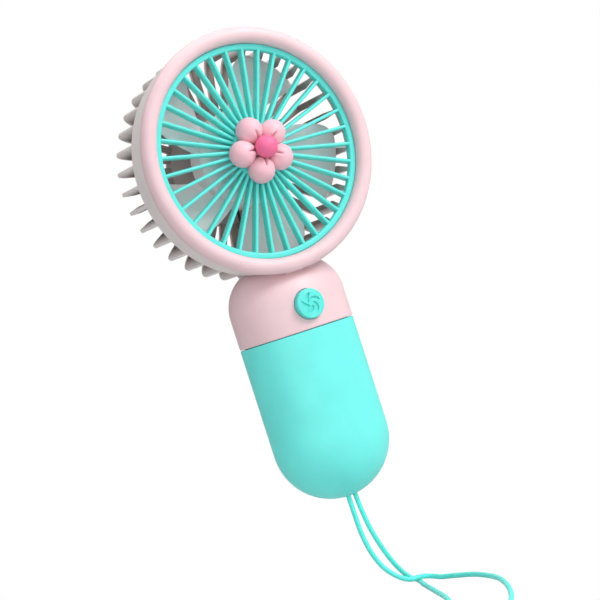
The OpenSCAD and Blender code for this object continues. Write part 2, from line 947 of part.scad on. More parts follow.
// Smooth curve through the route: "per" points on each stretch between two route points
function smooth(route, per) = let (n = len(route)) concat(
    [for (i = [0:n - 2], j = [0:per - 1])
        let (a = route[max(i - 1, 0)], b = route[i], c = route[i + 1], d = route[min(i + 2, n - 1)],
             t = j / per)
        0.5 * ((2 * b) + (c - a) * t + (2 * a - 5 * b + 4 * c - d) * t * t
            + (3 * b - a - 3 * c + d) * t * t * t)],
    [route[n - 1]]);
function unit(v) = v / norm(v);
// Direction across the path at each point, carried along without twist
function carried(dirs, i, side) = i >= len(dirs) ? [] :
    let (s = unit(side - (side * dirs[i]) * dirs[i]))
    concat([s], carried(dirs, i + 1, s));

module wrist_cord() {
    path = smooth(cord_route, 2);
    last = len(path) - 1;
    dirs = [for (i = [0:last]) unit(path[min(i + 1, last)] - path[max(i - 1, 0)])];
    sides = carried(dirs, 0, [0, 1, 0]);
    color(aqua)
        skin([for (i = [0:last]) let (u = sides[i], v = cross(dirs[i], u))
            [for (k = [0:cord_sides - 1])
                let (t = 360 * (k + 0.5) / cord_sides)
                path[i] + cord_r * (cos(t) * u + sin(t) * v)]]);
}

main_shell();
lower_shell();
front_grille();
flower_petals();
flower_eye();
rear_cage();
rear_cap();
impeller();
motor_can();
motor_end_cap();
motor_magnets();
motor_brushes();
armature();
commutator();
motor_shaft();
front_bushing();
rear_bushing();
motor_screws();
motor_wire_red();
motor_wire_black();
battery_cradle();
battery_cell();
battery_foam();
battery_tabs();
battery_wire_red();
battery_wire_black();
circuit_board();
switch_body();
switch_plunger();
button_cap();
usb_shell();
usb_insert();
control_chip();
inductor();
board_screws();
cradle_screws();
cord_knot();
wrist_cord();
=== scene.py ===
# %% [markdown]
# # A handheld fan with a flower badge
#
# The fan is a small product made of smooth moulded plastic: a pink lip and shoulder, a pale grey
# barrel with a finned cage, an aqua lower handle, an aqua front grille with a flower in its
# middle, and a thin wrist cord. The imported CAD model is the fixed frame: it says where every
# piece is. This lesson dresses that frame. The shells, grilles, blades and petals are made again
# as smooth surfaces with numpy, and the small parts inside keep their CAD shape and get a proper
# material.

# %% Load the frame
import math

import bmesh
import bpy
import numpy as np
from mathutils import Matrix, Vector


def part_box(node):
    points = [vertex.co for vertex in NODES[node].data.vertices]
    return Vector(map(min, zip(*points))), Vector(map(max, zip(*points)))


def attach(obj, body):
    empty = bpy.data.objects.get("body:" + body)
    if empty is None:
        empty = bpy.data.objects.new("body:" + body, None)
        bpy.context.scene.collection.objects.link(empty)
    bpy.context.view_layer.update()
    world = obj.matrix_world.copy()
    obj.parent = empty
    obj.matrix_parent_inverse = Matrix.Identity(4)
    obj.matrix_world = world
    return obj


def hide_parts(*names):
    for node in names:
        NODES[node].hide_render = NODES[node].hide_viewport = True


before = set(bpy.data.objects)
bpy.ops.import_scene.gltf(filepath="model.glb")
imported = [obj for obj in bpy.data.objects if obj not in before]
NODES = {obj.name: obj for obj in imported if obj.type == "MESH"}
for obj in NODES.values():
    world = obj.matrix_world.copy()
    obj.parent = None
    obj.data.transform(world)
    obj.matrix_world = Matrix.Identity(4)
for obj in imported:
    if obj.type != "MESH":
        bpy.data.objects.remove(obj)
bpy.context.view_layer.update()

MM = 0.001

# %% [markdown]
# ## Sizes that come from the frame
#
# The driving sizes of the fan are read from those boxes, so that a piece made here always lands
# on its CAD node. The head's axis runs along Y, and the fan blows towards -Y, so "forward"
# below means -Y.

# %% Read the driving sizes


def box_mm(node):
    """Lowest and highest corner of a CAD node, in millimetres."""
    low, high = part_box(node)
    return np.array(low) / MM, np.array(high) / MM


shell_low, shell_high = box_mm("main_shell")
cup_low, cup_high = box_mm("lower_shell")
grille_low, grille_high = box_mm("front_grille")
cage_high = box_mm("rear_cage")[1]
button_low, button_high = box_mm("button_cap")
can_low, can_high = box_mm("motor_can")
eye_low, eye_high = box_mm("flower_eye")

HEAD_R = (shell_high[0] - shell_low[0]) / 2
HEAD_Z = shell_high[2] - HEAD_R
HALF_W = (cup_high[0] - cup_low[0]) / 2
HALF_D = (cup_high[1] - cup_low[1]) / 2
FOOT_Z = cup_low[2]
GRILLE_R = (grille_high[0] - grille_low[0]) / 2
GRILLE_F = -grille_low[1]
REAR_F = -cage_high[1]
LIP_R = (HEAD_R - GRILLE_R - 0.05) / 2
LIP_MID_R = HEAD_R - LIP_R
LIP_F = GRILLE_F + 0.55
GRILLE_T = 2.65
CAGE_R = HEAD_R - 2.0
BARREL_F = LIP_F - 3
BARREL_REAR_F = 2.4
BARREL_REAR_R = HEAD_R - 1.5
BARREL_R = HEAD_R - 2.5
BARREL_BORE_R = BARREL_R - 0.4
BARREL_FRONT_R = BARREL_R + 1.86
print(f"head radius {HEAD_R:.2f}, centre height {HEAD_Z:.2f}, handle {2 * HALF_W:.1f} x {2 * HALF_D:.1f} mm")

# %% [markdown]
# ## The camera
#
# The fan is seen from its left, level with the upper handle, by a long lens about three
# quarters of a metre away. The camera is rolled, so that the upright fan leans in the view.
# Its three axes are built from the turn and the roll, and then put into one matrix.

# %% Place the camera
TURN = math.radians(26.9)
ROLL = math.radians(17.8)
DISTANCE = 756.0
AIM_RIGHT = 4.77
AIM_UP = 10.8
LENS = 126.0

right = Vector((math.cos(TURN), -math.sin(TURN), 0))
towards = Vector((-math.sin(TURN), -math.cos(TURN), 0))
up = Vector((0, 0, 1))
camera_x = math.cos(ROLL) * right - math.sin(ROLL) * up
camera_y = math.sin(ROLL) * right + math.cos(ROLL) * up
aim = AIM_RIGHT * right + AIM_UP * up

camera_data = bpy.data.cameras.new("camera")
camera_data.lens = LENS
camera_data.sensor_width = 36.0
camera_data.clip_start = 0.01
camera_data.clip_end = 20.0
camera = bpy.data.objects.new("camera", camera_data)
turned = Matrix((camera_x, camera_y, towards)).transposed().to_4x4()
camera.matrix_world = Matrix.Translation((aim + DISTANCE * towards) * MM) @ turned
bpy.context.scene.collection.objects.link(camera)
bpy.context.scene.camera = camera
print("camera at", [round(v, 3) for v in camera.matrix_world.translation])

# %% [markdown]
# ## Surfaces as arrays
#
# Every new piece is one or more grids of points. A grid is an array of rows, columns and three
# coordinates. Neighbouring points make a four-sided face. Where two grids share a border, or a
# row shrinks to one point at a pole, equal points are welded, and a face that lost a corner
# becomes a triangle. The signed volume of the result tells which way its faces point, so every
# skin can be turned outwards.

# %% Turn grids into solids
WELD = 1e-4


def ring(points, axis=0):
    """Close a row of points by repeating the first one at the end."""
    return np.concatenate([points, points.take([0], axis=axis)], axis=axis)


def circle(steps):
    """Angles once round in equal steps, closed."""
    return ring(np.linspace(0, 2 * math.pi, steps, endpoint=False))


def solid(*grids):
    """One closed skin from grids of points: welds equal points and points the faces outwards."""
    corners, quads, base = [], [], 0
    for grid in grids:
        rows, cols = grid.shape[:2]
        index = np.arange(rows * cols).reshape(rows, cols) + base
        quads.append(np.stack([index[:-1, :-1], index[1:, :-1], index[1:, 1:], index[:-1, 1:]], -1))
        corners.append(grid.reshape(-1, 3))
        base += rows * cols
    points = np.concatenate(corners)
    keys = np.round(points / WELD).astype(np.int64)
    _, first, where = np.unique(keys, axis=0, return_index=True, return_inverse=True)
    points = points[first]
    quads = where.reshape(-1)[np.concatenate([block.reshape(-1, 4) for block in quads])]
    lost = quads == np.roll(quads, -1, axis=1)
    triangles = quads[lost.sum(1) == 1][~lost[lost.sum(1) == 1]].reshape(-1, 3)
    quads = quads[lost.sum(1) == 0]
    halves = np.concatenate([quads[:, :3], quads[:, [0, 2, 3]], triangles])
    a, b, c = points[halves[:, 0]], points[halves[:, 1]], points[halves[:, 2]]
    if np.einsum("ij,ij->i", a, np.cross(b, c)).sum() < 0:
        quads, triangles = quads[:, ::-1], triangles[:, ::-1]
    return points, quads, triangles


def turned_copies(one, count, start=0.0):
    """Copies of a solid, turned about the head's axis in equal steps from the start angle."""
    points, quads, triangles = one
    copies = []
    for angle in math.radians(start) + np.arange(count) * 2 * math.pi / count:
        x, z = points[:, 0], points[:, 2] - HEAD_Z
        turned_points = np.stack([x * np.cos(angle) - z * np.sin(angle), points[:, 1],
                                  HEAD_Z + x * np.sin(angle) + z * np.cos(angle)], -1)
        copies.append((turned_points, quads, triangles))
    return copies


def mesh_object(name, solids):
    """A mesh object from one or more solids given in millimetres, shaded smooth."""
    counts = np.cumsum([0] + [len(points) for points, _, _ in solids])
    points = np.concatenate([points for points, _, _ in solids])
    faces = [(quads + base, triangles + base) for (_, quads, triangles), base in zip(solids, counts)]
    quads = np.concatenate([pair[0] for pair in faces])
    triangles = np.concatenate([pair[1] for pair in faces])
    loops = np.concatenate([quads.ravel(), triangles.ravel()])
    sizes = np.concatenate([np.full(len(quads), 4), np.full(len(triangles), 3)])
    mesh = bpy.data.meshes.new(name)
    mesh.vertices.add(len(points))
    mesh.vertices.foreach_set("co", (points * MM).astype(np.float32).ravel())
    mesh.loops.add(len(loops))
    mesh.loops.foreach_set("vertex_index", loops.astype(np.int32))
    mesh.polygons.add(len(sizes))
    mesh.polygons.foreach_set("loop_start", (np.cumsum(sizes) - sizes).astype(np.int32))
    mesh.update(calc_edges=True)
    thing = bpy.data.objects.new(name, mesh)
    bpy.context.scene.collection.objects.link(thing)
    smooth(thing)
    return thing


def smooth(thing, angle=32):
    """Shade a mesh smooth, with a hard line only where faces meet at more than the angle."""
    thing.data.polygons.foreach_set("use_smooth", np.ones(len(thing.data.polygons), bool))
    thing.data.set_sharp_from_angle(angle=math.radians(angle))


def carve(thing, cutter):
    """Cut one closed mesh by another, and apply the result."""
    modifier = thing.modifiers.new("carve", "BOOLEAN")
    modifier.operation = "DIFFERENCE"
    modifier.solver = "EXACT"
    modifier.object = cutter
    graph = bpy.context.evaluated_depsgraph_get()
    carved = bpy.data.meshes.new_from_object(thing.evaluated_get(graph))
    thing.modifiers.clear()
    thing.data = carved
    bpy.data.objects.remove(cutter)
    smooth(thing)
    return thing


def together(thing, other):
    """Put another closed skin into the same mesh, where the two simply stand in each other."""
    both = bmesh.new()
    both.from_mesh(thing.data)
    both.from_mesh(other.data)
    both.to_mesh(thing.data)
    both.free()
    bpy.data.objects.remove(other)
    smooth(thing)


def open_edges(mesh):
    """How many edges don't have exactly two faces, which is none on a closed skin."""
    edges = np.empty(len(mesh.loops), np.int32)
    mesh.loops.foreach_get("edge_index", edges)
    return int((np.bincount(edges, minlength=len(mesh.edges)) != 2).sum())


def dress(thing, body, finish, replaces=()):
    """Give a finished piece its material and its body, and hide the CAD nodes it stands for."""
    thing.data.materials.clear()
    thing.data.materials.append(finish)
    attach(thing, body)
    if replaces:
        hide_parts(*replaces)
    triangles = sum(len(p.vertices) - 2 for p in thing.data.polygons)
    print(f"{thing.name}: {triangles} triangles, {open_edges(thing.data)} open edges")
    return thing


# %% [markdown]
# ## Outlines with soft corners
#
# A moulded edge is never sharp. `fillet` replaces each corner of a closed outline by an arc: the
# arc's centre lies on the corner's bisector, at the radius divided by the sine of half the
# corner's angle. `revolve` spins an outline of radius and forward distance about the head's axis.

# %% Outline tools


def fillet(corners, radii, steps=5):
    """Closed outline whose corners are arcs of the given radii; a radius of 0 keeps the corner."""
    corners = np.asarray(corners, float)
    out = []
    for here, before, after, radius in zip(corners, np.roll(corners, 1, 0), np.roll(corners, -1, 0), radii):
        if radius == 0:
            out.append(here[None])
            continue
        a = (before - here) / np.linalg.norm(before - here)
        b = (after - here) / np.linalg.norm(after - here)
        half = math.acos(np.clip(a @ b, -1, 1)) / 2
        middle = here + (a + b) / np.linalg.norm(a + b) * radius / math.sin(half)
        start = here + a * radius / math.tan(half) - middle
        end = here + b * radius / math.tan(half) - middle
        share = np.linspace(0, 1, steps)[:, None]
        arc = start * (1 - share) + end * share
        out.append(middle + arc / np.linalg.norm(arc, axis=1)[:, None] * radius)
    return np.concatenate(out)


def in_head(radius, angle, forward):
    """Point at a radius and angle about the head's axis and a forward distance, in the fan's frame."""
    return np.stack([radius * np.cos(angle), -forward + 0 * angle * radius,
                     HEAD_Z + radius * np.sin(angle)], -1)


def revolve(outline, steps=240):
    """Solid from a closed outline of (radius, forward) spun about the head's axis."""
    angle = circle(steps)
    outline = ring(np.asarray(outline, float))
    return solid(in_head(outline[None, :, 0], angle[:, None], outline[None, :, 1]))


def spin(outline, steps=96):
    """Solid from an open outline whose first and last point lie on the head's axis."""
    angle = circle(steps)
    outline = np.asarray(outline, float)
    return solid(in_head(outline[None, :, 0], angle[:, None], outline[None, :, 1]))


def rounded_box_section(width, depth, radius, steps=4):
    """Closed outline of a bar's section: a rectangle about the origin with round corners."""
    w, d = width / 2, depth / 2
    return fillet([(-w, -d), (w, -d), (w, d), (-w, d)], [radius] * 4, steps)


# %% [markdown]
# ## Finishes
#
# The shells are soft-touch ABS: one clean colour with a very fine grain, a slightly uneven gloss
# and a faint cloudiness that stops large surfaces looking flat. All patterns read the object's
# own coordinates in metres, so a noise scale of 3600 gives grains of 0.3 millimetres. The small
# nodes of a material are made by one function, `add_node`, so each pattern reads as one line.
# The cage's material also carries painted shade: its colour turns darker and browner towards the impeller,
# where little light reaches it.

# %% Material tools
NOISE_LOW = 0.3
NOISE_HIGH = 0.7
PAINTED_SHADE_FROM = 1.2
PAINTED_SHADE_TO = 3.6


def wire(tree, start, end):
    """Join an output to an input."""
    tree.links.new(start, end)


def add_node(tree, kind, inputs, **joined):
    """New node of a kind, with constants in some of its inputs and outputs joined to others."""
    node = tree.nodes.new("ShaderNode" + kind)
    for name, value in inputs.items():
        node.inputs[name].default_value = value
    for name, output in joined.items():
        wire(tree, output, node.inputs[name])
    return node


def noise(tree, place, scale, detail=2.0, rough=0.5):
    """Noise texture on the given coordinates."""
    inputs = {"Scale": scale, "Detail": detail, "Roughness": rough}
    return add_node(tree, "TexNoise", inputs, Vector=place).outputs["Fac"]


def spread(tree, value, low, high, start=NOISE_LOW, end=NOISE_HIGH):
    """Map a value from one range, as a rule where noise lives, to another."""
    inputs = {"From Min": start, "From Max": end, "To Min": low, "To Max": high}
    return add_node(tree, "MapRange", inputs, Value=value).outputs["Result"]


def blend(tree, value, first, second):
    """Colour between two colours, chosen by a value."""
    node = add_node(tree, "ValToRGB", {}, Fac=value)
    for stop, place, colour in zip(node.color_ramp.elements, (NOISE_LOW, NOISE_HIGH), (first, second)):
        stop.position = place
        stop.color = (*colour, 1)
    return node.outputs["Color"]


def bump(tree, height, strength, distance):
    """Small relief from a height, in metres."""
    inputs = {"Strength": strength, "Distance": distance}
    return add_node(tree, "Bump", inputs, Height=height).outputs["Normal"]


def shaded(colour, factor):
    """A colour made lighter or darker."""
    return tuple(min(1.0, c * factor) for c in colour)


def new_material(name):
    """Empty node material: its tree, its Principled shader and its object coordinates."""
    material = bpy.data.materials.new(name)
    material.use_nodes = True
    tree = material.node_tree
    shader = tree.nodes["Principled BSDF"]
    place = tree.nodes.new("ShaderNodeTexCoord").outputs["Object"]
    return material, tree, shader, place


def moulded(name, colour, rough, grain=0.12, cloud=0.03, glow=0.0, coat=0.0):
    """Moulded plastic: a cloudy colour, uneven gloss and fine grain; glow is light in its depth."""
    material, tree, shader, place = new_material(name)
    wire(tree, blend(tree, noise(tree, place, 90, 3), shaded(colour, 1 - cloud), shaded(colour, 1 + cloud)),
         shader.inputs["Base Color"])
    gloss = noise(tree, place, 260, 4)
    wire(tree, spread(tree, gloss, rough - 0.04, rough + 0.05), shader.inputs["Roughness"])
    wire(tree, bump(tree, noise(tree, place, 3600, 3, 0.6), grain, 2e-5), shader.inputs["Normal"])
    shader.inputs["Subsurface Weight"].default_value = glow
    shader.inputs["Subsurface Radius"].default_value = (1.0, 0.6, 0.5)
    shader.inputs["Subsurface Scale"].default_value = 0.0015
    shader.inputs["Coat Weight"].default_value = coat
    shader.inputs["Coat Roughness"].default_value = 0.25
    return material


def cage_plastic_with_painted_shade(name, colour, inside):
    """Moulded plastic with painted shade: its colour turns darker and browner on the side of the cage that
    faces the impeller.

    Depth under the skin is the smaller of two distances: inward from the cage's radius and forward
    from its rear face. The painted shade deepens between two depths, across the inner half of a fin.
    """
    material = moulded(name, colour, 0.5, glow=0.04)
    tree = material.node_tree
    shader = tree.nodes["Principled BSDF"]
    outside = shader.inputs["Base Color"].links[0].from_socket
    place = tree.nodes.new("ShaderNodeTexCoord").outputs["Object"]
    apart = add_node(tree, "SeparateXYZ", {}, Vector=place)

    def calculate(operation, first, second):
        """One step of arithmetic on outputs or plain numbers."""
        node = add_node(tree, "Math", {})
        node.operation = operation
        for socket, value in zip(node.inputs, (first, second)):
            if isinstance(value, float):
                socket.default_value = value
            else:
                wire(tree, value, socket)
        return node.outputs[0]

    high = calculate("SUBTRACT", apart.outputs["Z"], HEAD_Z * MM)
    across = calculate("MULTIPLY", apart.outputs["X"], apart.outputs["X"])
    radius = calculate("SQRT", calculate("ADD", across, calculate("MULTIPLY", high, high)), 0.0)
    inward = calculate("SUBTRACT", CAGE_R * MM, radius)
    forward = calculate("SUBTRACT", -REAR_F * MM, apart.outputs["Y"])
    depth = calculate("MINIMUM", inward, forward)
    # Painted shade: the colour darkens to the given brown as the depth into the cage grows.
    mix = add_node(tree, "Mix", {})
    mix.data_type = "RGBA"
    wire(tree, spread(tree, depth, 0, 1, PAINTED_SHADE_FROM * MM, PAINTED_SHADE_TO * MM), mix.inputs["Factor"])
    wire(tree, outside, mix.inputs[6])
    mix.inputs[7].default_value = (*inside, 1)
    wire(tree, mix.outputs[2], shader.inputs["Base Color"])
    return material


def metal(name, colour, rough, direction_scale):
    """Worked metal: a metallic shader with a grain stretched along one way of the part."""
    material, tree, shader, place = new_material(name)
    stretch = add_node(tree, "Mapping", {"Scale": direction_scale}, Vector=place)
    grain = noise(tree, stretch.outputs["Vector"], 1500, 3, 0.6)
    wire(tree, blend(tree, grain, shaded(colour, 0.85), shaded(colour, 1.1)), shader.inputs["Base Color"])
    wire(tree, spread(tree, grain, rough - 0.06, rough + 0.1), shader.inputs["Roughness"])
    wire(tree, bump(tree, grain, 0.2, 1e-5), shader.inputs["Normal"])
    shader.inputs["Metallic"].default_value = 1.0
    return material


def banded(name, dark, light, spacing, axis_scale, rough, metallic=0.0):
    """A finish with fine bands, as on windings or a printed wrap, at a spacing in metres."""
    material, tree, shader, place = new_material(name)
    stretch = add_node(tree, "Mapping", {"Scale": axis_scale}, Vector=place)
    inputs = {"Scale": 0.314 / spacing, "Distortion": 0.6}
    wave = add_node(tree, "TexWave", inputs, Vector=stretch.outputs["Vector"])
    wire(tree, blend(tree, wave.outputs["Fac"], dark, light), shader.inputs["Base Color"])
    wire(tree, spread(tree, noise(tree, place, 500), rough - 0.05, rough + 0.08), shader.inputs["Roughness"])
    wire(tree, bump(tree, wave.outputs["Fac"], 0.3, 3e-5), shader.inputs["Normal"])
    shader.inputs["Metallic"].default_value = metallic
    return material


# %% The fan's own finishes
pink_shell = moulded("pink_shell", (0.79, 0.57, 0.60), 0.46, glow=0.06)
# The cage's second colour is painted shade, a dark brown for the inside of the cage.
pale_cage_with_painted_shade = cage_plastic_with_painted_shade("pale_cage_with_painted_shade", (0.76, 0.70, 0.685), (0.33, 0.27, 0.25))
aqua_shell = moulded("aqua_shell", (0.15, 0.82, 0.76), 0.42, glow=0.06)
aqua_grille = moulded("aqua_grille", (0.11, 0.76, 0.69), 0.36, glow=0.05)
petal_vinyl = moulded("petal_vinyl", (0.86, 0.50, 0.57), 0.5, grain=0.2, cloud=0.05, glow=0.12)
eye_vinyl = moulded("eye_vinyl", (0.88, 0.15, 0.33), 0.46, grain=0.2, cloud=0.06, glow=0.1)
milky_blade = moulded("milky_blade", (0.93, 0.87, 0.88), 0.3, grain=0.06, cloud=0.02, glow=0.2, coat=0.2)
dark_plastic = moulded("dark_plastic", (0.025, 0.026, 0.03), 0.5, grain=0.3)
white_plastic = moulded("white_plastic", (0.78, 0.77, 0.74), 0.5)
ferrite = moulded("ferrite", (0.05, 0.05, 0.055), 0.7, grain=0.6, cloud=0.2)
foam = moulded("foam", (0.06, 0.06, 0.065), 0.9, grain=0.9, cloud=0.3)
red_insulation = moulded("red_insulation", (0.55, 0.02, 0.03), 0.4)
black_insulation = moulded("black_insulation", (0.015, 0.015, 0.016), 0.4)
board_mask = banded("board_mask", (0.01, 0.12, 0.06), (0.02, 0.22, 0.11), 0.0012, (1, 0.4, 1), 0.35)
cell_wrap = banded("cell_wrap", (0.03, 0.09, 0.28), (0.05, 0.14, 0.38), 0.02, (0, 0, 1), 0.3)
steel = metal("steel", (0.62, 0.63, 0.65), 0.3, (1, 1, 0.05))
brass = metal("brass", (0.70, 0.50, 0.20), 0.3, (0.05, 1, 1))
winding = banded("winding", (0.30, 0.10, 0.03), (0.75, 0.32, 0.12), 0.0006, (0.2, 1, 0.2), 0.35, metallic=1.0)
print(len(bpy.data.materials), "materials so far")

# %% [markdown]
# ## The wrist cord
#
# The cord is one smooth loop: both ends are knotted inside the lower handle, the two strands
# hang to the table, one passes over the other, and the loop closes in front. The points below
# are the same as in the CAD model. A Catmull-Rom curve runs through them, and a round section is
# carried along it without twist. The cord's skin carries a UV map, so that its fine braid can
# follow it.

# %% Make the cord
ROUTE = np.array([
    (-1.45, -2.4, -59.1), (-1.4, -2.4, -63), (-1.3, -2.4, -69), (-1, -2.4, -76),
    (0.2, -2.6, -83), (2.2, -3.1, -88.6), (4.4, -3.9, -92.2), (7.4, -5.2, -95.4),
    (10.6, -6.2, -97.1), (14, -6.6, -97.3), (17.2, -8.8, -98.2), (18.6, -14, -99.1),
    (19.6, -23, -99.1), (20, -34, -99.1), (18, -47, -99.1), (14, -61, -99.1),
    (6.4, -78, -99.1), (-2.2, -93.6, -99.1), (-9.4, -104.6, -99.1),
    (-17, -113.6, -99.1), (-25, -118.4, -99.1), (-32, -117, -99.1),
    (-34.4, -110, -99.1), (-31, -102, -99.1), (-25, -92, -99.1), (-17.6, -79.8, -99.1),
    (-7, -60.6, -99.1), (2, -37.4, -99.1), (10.4, -14.6, -99.1),
    (14.4, -5, -99.1), (16.2, 1, -98.9), (14.6, 2.8, -97.2), (11.6, 1.2, -94),
    (8.2, -0.6, -89), (5.2, -1.8, -82.4), (3, -2.3, -75), (1.9, -2.4, -67.6),
    (1.5, -2.4, -62.6), (1.45, -2.4, -59.1)])
CORD_R = 0.9
FLOOR_Z = -100.0


def catmull_rom(route, per):
    """Smooth curve through the route: between two points, a cubic whose slope at each point is
    half the step between that point's neighbours."""
    padded = np.concatenate([route[:1], route, route[-1:]])
    a, b, c, d = padded[:-3], padded[1:-2], padded[2:-1], padded[3:]
    t = (np.arange(per) / per)[None, :, None]
    a, b, c, d = (p[:, None, :] for p in (a, b, c, d))
    curve = 0.5 * (2 * b + (c - a) * t + (2 * a - 5 * b + 4 * c - d) * t**2 + (3 * b - a - 3 * c + d) * t**3)
    return np.concatenate([curve.reshape(-1, 3), route[-1:]])


def carried_frames(path, side):
    """Direction along the path at each point, and two directions across it that don't twist."""
    along = np.gradient(path, axis=0)
    along /= np.linalg.norm(along, axis=1)[:, None]
    across = np.empty_like(along)
    for i, direction in enumerate(along):
        side = side - (side @ direction) * direction
        side = side / np.linalg.norm(side)
        across[i] = side
    return along, across, np.cross(along, across)


def tube(path, radius, sides, side=(0.0, 1.0, 0.0)):
    """Closed tube: a circle carried along the path, with a point at the middle of each end."""
    _, u, v = carried_frames(path, np.array(side))
    angle = circle(sides)
    across = np.cos(angle)[None, :, None] * u[:, None] + np.sin(angle)[None, :, None] * v[:, None]
    wall = path[:, None] + radius * across
    start = np.broadcast_to(path[0], wall[:1].shape)
    end = np.broadcast_to(path[-1], wall[:1].shape)
    return solid(np.concatenate([start, wall, end]))


cord_path = catmull_rom(ROUTE, 6)
cord_path[:, 2] = np.maximum(cord_path[:, 2], FLOOR_Z + CORD_R)
wrist_cord = mesh_object("wrist_cord_braid", [tube(cord_path, CORD_R, 16)])


def cord_uv(thing, path, radius):
    """UV map for a tube: u is the distance along the path, v the place round it, in turns."""
    points = np.empty(len(thing.data.vertices) * 3, np.float32)
    thing.data.vertices.foreach_get("co", points)
    points = points.reshape(-1, 3) / MM
    travelled = np.concatenate([[0], np.cumsum(np.linalg.norm(np.diff(path, axis=0), axis=1))])
    nearest = np.argmin(((points[:, None] - path[None]) ** 2).sum(-1), axis=1)
    _, u, v = carried_frames(path, np.array((0.0, 1.0, 0.0)))
    out = points - path[nearest]
    turn = np.arctan2((out * v[nearest]).sum(-1), (out * u[nearest]).sum(-1)) / (2 * math.pi) % 1
    loops = np.empty(len(thing.data.loops), np.int32)
    thing.data.loops.foreach_get("vertex_index", loops)
    layer = thing.data.uv_layers.new(name="braid")
    uv = np.stack([travelled[nearest][loops] * MM / radius, turn[loops]], -1)
    layer.data.foreach_set("uv", uv.astype(np.float32).ravel())


cord_uv(wrist_cord, cord_path, CORD_R)


def braided_cord(name, colour):
    """Fine round braid: two sets of slanting threads, made by two waves on the cord's UV map."""
    material, tree, shader, _ = new_material(name)
    place = add_node(tree, "UVMap", {})
    place.uv_map = "braid"
    heights = []
    for turn in (math.radians(38), math.radians(-38)):
        inputs = {"Rotation": (0, 0, turn), "Scale": (900, 6, 1)}
        slant = add_node(tree, "Mapping", inputs, Vector=place.outputs["UV"])
        wave = add_node(tree, "TexWave", {"Scale": 1.0}, Vector=slant.outputs["Vector"])
        wave.wave_profile = "SIN"
        heights.append(wave.outputs["Fac"])
    woven = add_node(tree, "Math", {})
    woven.operation = "MAXIMUM"
    wire(tree, heights[0], woven.inputs[0])
    wire(tree, heights[1], woven.inputs[1])
    threads = blend(tree, woven.outputs[0], shaded(colour, 1.02), shaded(colour, 1.1))
    wire(tree, threads, shader.inputs["Base Color"])
    wire(tree, bump(tree, woven.outputs[0], 0.04, 6e-6), shader.inputs["Normal"])
    shader.inputs["Roughness"].default_value = 0.5
    shader.inputs["Sheen Weight"].default_value = 0.2
    shader.inputs["Sheen Roughness"].default_value = 0.4
    return material


aqua_cord = braided_cord("aqua_cord", (0.10, 0.80, 0.71))
dress(wrist_cord, "body", aqua_cord, ["wrist_cord"])

# %% [markdown]
# ## Floor and light
#
# The fan is shown on plain white. The floor is one large sheet that curves up far behind the
# fan, so no edge shows. Floor and surroundings are plain white to the camera only: they light the
# fan as a soft grey, so the edges of pale parts stay visible. A big soft lamp stands high on the
# right in front of the fan, a weaker one fills from the left, and one hangs above.

# %% Floor, lamps and background
FLOOR_REACH = 6.0


def sweep_floor():
    """Floor sheet: flat in front, then a quarter circle up into a wall, the same all the way across."""
    bend = 1.5
    angle = np.linspace(0, math.pi / 2, 24)
    run = np.concatenate([[-FLOOR_REACH, 1.0], 1.0 + bend * np.sin(angle[1:]), [1.0 + bend]])
    rise = np.concatenate([[0, 0], bend * (1 - np.cos(angle[1:])), [5.0]])
    across = np.linspace(-FLOOR_REACH, FLOOR_REACH, 2)
    grid = np.stack([across[:, None] + 0 * run[None], run[None] + 0 * across[:, None],
                     FLOOR_Z * MM - 0.0004 + rise[None] + 0 * across[:, None]], -1)
    rows, cols = grid.shape[:2]
    index = np.arange(rows * cols).reshape(rows, cols)
    quads = np.stack([index[:-1, :-1], index[1:, :-1], index[1:, 1:], index[:-1, 1:]], -1).reshape(-1, 4)
    mesh = bpy.data.meshes.new("floor")
    mesh.from_pydata(grid.reshape(-1, 3).tolist(), [], quads.tolist())
    mesh.polygons.foreach_set("use_smooth", np.ones(len(mesh.polygons), bool))
    floor = bpy.data.objects.new("floor", mesh)
    bpy.context.scene.collection.objects.link(floor)
    return floor


def seen_white(tree, shown, other):
    """Mix of two shaders: one that the camera sees, and one that lights and reflects in the fan."""
    path = add_node(tree, "LightPath", {})
    mix = add_node(tree, "MixShader", {}, Fac=path.outputs["Is Camera Ray"])
    wire(tree, other, mix.inputs[1])
    wire(tree, shown, mix.inputs[2])
    return mix.outputs["Shader"]


def white_paper():
    """Backdrop paper: the camera sees it lit to plain white, and to the fan it is soft grey card."""
    material, tree, shader, place = new_material("white_paper")
    mottle = blend(tree, noise(tree, place, 3, 2), (0.58, 0.58, 0.58), (0.62, 0.62, 0.62))
    wire(tree, mottle, shader.inputs["Base Color"])
    shader.inputs["Roughness"].default_value = 0.95
    bright = add_node(tree, "Emission", {"Color": (1, 1, 1, 1)})
    out = tree.nodes["Material Output"]
    wire(tree, seen_white(tree, bright.outputs["Emission"], shader.outputs["BSDF"]), out.inputs["Surface"])
    return material


floor = sweep_floor()
floor.data.materials.append(white_paper())


def lamp(name, place, target, power, size):
    """Square soft lamp at a place, turned to a target, both in metres."""
    data = bpy.data.lights.new(name, "AREA")
    data.energy = power
    data.size = size
    thing = bpy.data.objects.new(name, data)
    thing.location = place
    thing.rotation_euler = (Vector(target) - Vector(place)).to_track_quat("-Z", "Y").to_euler()
    bpy.context.scene.collection.objects.link(thing)
    return thing


lamp("key", (0.75, -1.0, 0.95), (0, 0, 0.03), 15.5, 0.7)
lamp("front", (-0.5, -1.5, 0.25), (0, 0, 0.04), 5, 1.0)
lamp("top", (0.0, 0.2, 1.4), (0, 0, 0.05), 7, 0.9)

world = bpy.data.worlds.new("white_room")
world.use_nodes = True
room = world.node_tree
soft = room.nodes["Background"]
soft.inputs["Color"].default_value = (0.98, 0.99, 1, 1)
soft.inputs["Strength"].default_value = 0.62
plain = add_node(room, "Background", {"Color": (1, 1, 1, 1)})
surroundings = seen_white(room, plain.outputs["Background"], soft.outputs["Background"])
wire(room, surroundings, room.nodes["World Output"].inputs["Surface"])
bpy.context.scene.world = world
bpy.context.scene.view_settings.view_transform = "Standard"
print("floor, lamps and background are in place")

